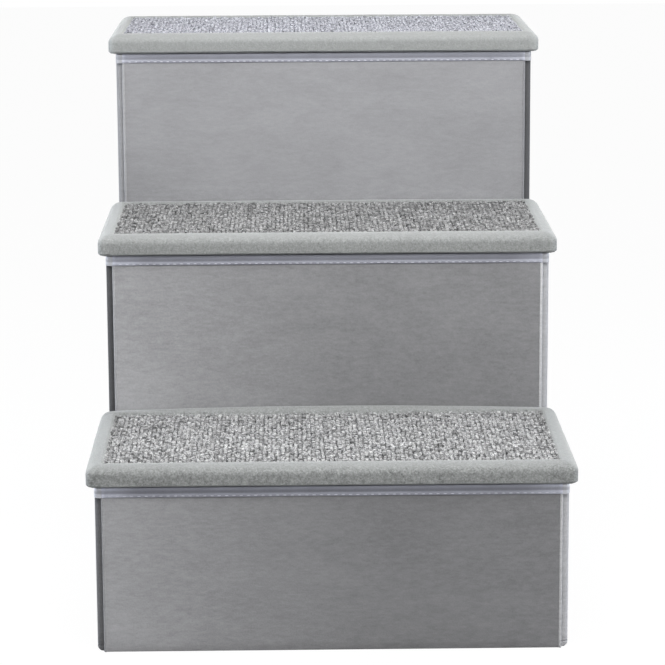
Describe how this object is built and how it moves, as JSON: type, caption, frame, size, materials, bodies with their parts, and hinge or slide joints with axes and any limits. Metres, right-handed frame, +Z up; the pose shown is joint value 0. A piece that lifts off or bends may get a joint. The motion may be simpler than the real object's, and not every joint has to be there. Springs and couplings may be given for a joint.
{
  "type": "pet stairs",
  "caption": "Folding pet stairs of fabric-covered board boxes in a row, each with a lift-off tread of loop-pile carpet in a rolled fleece rim.",
  "frame": {"origin": "on the floor, at the middle of the footprint", "axes": "+X to the right seen from the front, +Y up the stairs towards the back, +Z up"},
  "size_m": [0.406, 0.6102, 0.475],
  "materials": {
    "velour": "matt velour with a nap",
    "velour_side": "matt velour, its nap brushed the other way",
    "base_cloth": "matt woven cloth",
    "ribbon": "satin woven ribbon",
    "fleece": "matt fleece",
    "carpet": "looped pile, mixed greys",
    "board": "raw fibreboard",
    "foam": "open-cell foam",
    "batten_wood": "raw fibreboard",
    "hook_tape": "hook tape",
    "loop_tape": "loop tape"
  },
  "bodies": {
    "lower_box": {"lower_front_panel": "velour", "lower_front_ribbon": "ribbon", "lower_base_board": "base_cloth"},
    "lower_left_front": {"lower_left_front_panel": "velour_side", "lower_left_front_ribbon": "ribbon"},
    "lower_left_rear": {"lower_left_rear_panel": "velour_side", "lower_left_rear_ribbon": "ribbon"},
    "lower_right_front": {"lower_right_front_panel": "velour_side", "lower_right_front_ribbon": "ribbon"},
    "lower_right_rear": {"lower_right_rear_panel": "velour_side", "lower_right_rear_ribbon": "ribbon"},
    "lower_back": {"lower_back_panel": "velour", "lower_back_ribbon": "ribbon", "lower_hook_strips": "hook_tape"},
    "lower_tread": {"lower_tread_board": "board", "lower_tread_foam": "foam", "lower_tread_cover": "fleece", "lower_tread_carpet": "carpet", "lower_tread_batten": "batten_wood"},
    "middle_box": {"middle_front_panel": "velour", "middle_front_ribbon": "ribbon", "middle_base_board": "base_cloth", "middle_loop_strips": "loop_tape"},
    "middle_left_front": {"middle_left_front_panel": "velour_side", "middle_left_front_ribbon": "ribbon"},
    "middle_left_rear": {"middle_left_rear_panel": "velour_side", "middle_left_rear_ribbon": "ribbon"},
    "middle_right_front": {"middle_right_front_panel": "velour_side", "middle_right_front_ribbon": "ribbon"},
    "middle_right_rear": {"middle_right_rear_panel": "velour_side", "middle_right_rear_ribbon": "ribbon"},
    "middle_back": {"middle_back_panel": "velour", "middle_back_ribbon": "ribbon", "middle_hook_strips": "hook_tape"},
    "middle_tread": {"middle_tread_board": "board", "middle_tread_foam": "foam", "middle_tread_cover": "fleece", "middle_tread_carpet": "carpet", "middle_tread_batten": "batten_wood"},
    "upper_box": {"upper_front_panel": "velour", "upper_front_ribbon": "ribbon", "upper_base_board": "base_cloth", "upper_loop_strips": "loop_tape"},
    "upper_left_front": {"upper_left_front_panel": "velour_side", "upper_left_front_ribbon": "ribbon"},
    "upper_left_rear": {"upper_left_rear_panel": "velour_side", "upper_left_rear_ribbon": "ribbon"},
    "upper_right_front": {"upper_right_front_panel": "velour_side", "upper_right_front_ribbon": "ribbon"},
    "upper_right_rear": {"upper_right_rear_panel": "velour_side", "upper_right_rear_ribbon": "ribbon"},
    "upper_back": {"upper_back_panel": "velour", "upper_back_ribbon": "ribbon"},
    "upper_tread": {"upper_tread_board": "board", "upper_tread_foam": "foam", "upper_tread_cover": "fleece", "upper_tread_carpet": "carpet", "upper_tread_batten": "batten_wood"}
  },
  "joints": [
    {"name": "lower_tread_lift", "type": "slide", "parent": "lower_box", "child": "lower_tread", "axis": [0, 0, 1], "range_m": [0, 0.13]},
    {"name": "lower_fold", "type": "hinge", "parent": "lower_box", "child": "lower_left_front", "pos_m": [-0.18975, -0.29385, 0.0705], "axis": [0, 0, 1], "range_deg": [-90, 0]},
    {"name": "lower_left_crease", "type": "hinge", "parent": "lower_left_front", "child": "lower_left_rear", "pos_m": [-0.19625, -0.2002, 0.0705], "axis": [0, 0, 1], "range_deg": [0, 180]},
    {"name": "lower_back_corner", "type": "hinge", "parent": "lower_left_rear", "child": "lower_back", "pos_m": [-0.18975, -0.10655, 0.0705], "axis": [0, 0, 1], "range_deg": [-90, 0]},
    {"name": "lower_right_corner", "type": "hinge", "parent": "lower_box", "child": "lower_right_front", "pos_m": [0.18975, -0.29385, 0.0705], "axis": [0, 0, 1], "range_deg": [0, 90]},
    {"name": "lower_right_crease", "type": "hinge", "parent": "lower_right_front", "child": "lower_right_rear", "pos_m": [0.19625, -0.2002, 0.0705], "axis": [0, 0, 1], "range_deg": [-180, 0]},
    {"name": "middle_tread_lift", "type": "slide", "parent": "middle_box", "child": "middle_tread", "axis": [0, 0, 1], "range_m": [0, 0.13]},
    {"name": "middle_fold", "type": "hinge", "parent": "middle_box", "child": "middle_left_front", "pos_m": [-0.18975, -0.09185, 0.14925], "axis": [0, 0, 1], "range_deg": [-90, 0]},
    {"name": "middle_left_crease", "type": "hinge", "parent": "middle_left_front", "child": "middle_left_rear", "pos_m": [-0.19625, 0.0018, 0.14925], "axis": [0, 0, 1], "range_deg": [0, 180]},
    {"name": "middle_back_corner", "type": "hinge", "parent": "middle_left_rear", "child": "middle_back", "pos_m": [-0.18975, 0.09545, 0.14925], "axis": [0, 0, 1], "range_deg": [-90, 0]},
    {"name": "middle_right_corner", "type": "hinge", "parent": "middle_box", "child": "middle_right_front", "pos_m": [0.18975, -0.09185, 0.14925], "axis": [0, 0, 1], "range_deg": [0, 90]},
    {"name": "middle_right_crease", "type": "hinge", "parent": "middle_right_front", "child": "middle_right_rear", "pos_m": [0.19625, 0.0018, 0.14925], "axis": [0, 0, 1], "range_deg": [-180, 0]},
    {"name": "middle_box_pull", "type": "slide", "parent": "lower_box", "child": "middle_box", "axis": [0, 1, 0], "range_m": [0, 0.15]},
    {"name": "upper_tread_lift", "type": "slide", "parent": "upper_box", "child": "upper_tread", "axis": [0, 0, 1], "range_m": [0, 0.13]},
    {"name": "upper_fold", "type": "hinge", "parent": "upper_box", "child": "upper_left_front", "pos_m": [-0.18975, 0.11015, 0.228], "axis": [0, 0, 1], "range_deg": [-90, 0]},
    {"name": "upper_left_crease", "type": "hinge", "parent": "upper_left_front", "child": "upper_left_rear", "pos_m": [-0.19625, 0.2038, 0.228], "axis": [0, 0, 1], "range_deg": [0, 180]},
    {"name": "upper_back_corner", "type": "hinge", "parent": "upper_left_rear", "child": "upper_back", "pos_m": [-0.18975, 0.29745, 0.228], "axis": [0, 0, 1], "range_deg": [-90, 0]},
    {"name": "upper_right_corner", "type": "hinge", "parent": "upper_box", "child": "upper_right_front", "pos_m": [0.18975, 0.11015, 0.228], "axis": [0, 0, 1], "range_deg": [0, 90]},
    {"name": "upper_right_crease", "type": "hinge", "parent": "upper_right_front", "child": "upper_right_rear", "pos_m": [0.19625, 0.2038, 0.228], "axis": [0, 0, 1], "range_deg": [-180, 0]},
    {"name": "upper_box_pull", "type": "slide", "parent": "middle_box", "child": "upper_box", "axis": [0, 1, 0], "range_m": [0, 0.15]}
  ],
  "couplings": [
    {"joint": "lower_left_crease", "follows": "lower_fold", "ratio": -2},
    {"joint": "lower_back_corner", "follows": "lower_fold", "ratio": 1},
    {"joint": "lower_right_corner", "follows": "lower_fold", "ratio": -1},
    {"joint": "lower_right_crease", "follows": "lower_fold", "ratio": 2},
    {"joint": "middle_left_crease", "follows": "middle_fold", "ratio": -2},
    {"joint": "middle_back_corner", "follows": "middle_fold", "ratio": 1},
    {"joint": "middle_right_corner", "follows": "middle_fold", "ratio": -1},
    {"joint": "middle_right_crease", "follows": "middle_fold", "ratio": 2},
    {"joint": "upper_left_crease", "follows": "upper_fold", "ratio": -2},
    {"joint": "upper_back_corner", "follows": "upper_fold", "ratio": 1},
    {"joint": "upper_right_corner", "follows": "upper_fold", "ratio": -1},
    {"joint": "upper_right_crease", "follows": "upper_fold", "ratio": 2}
  ]
}
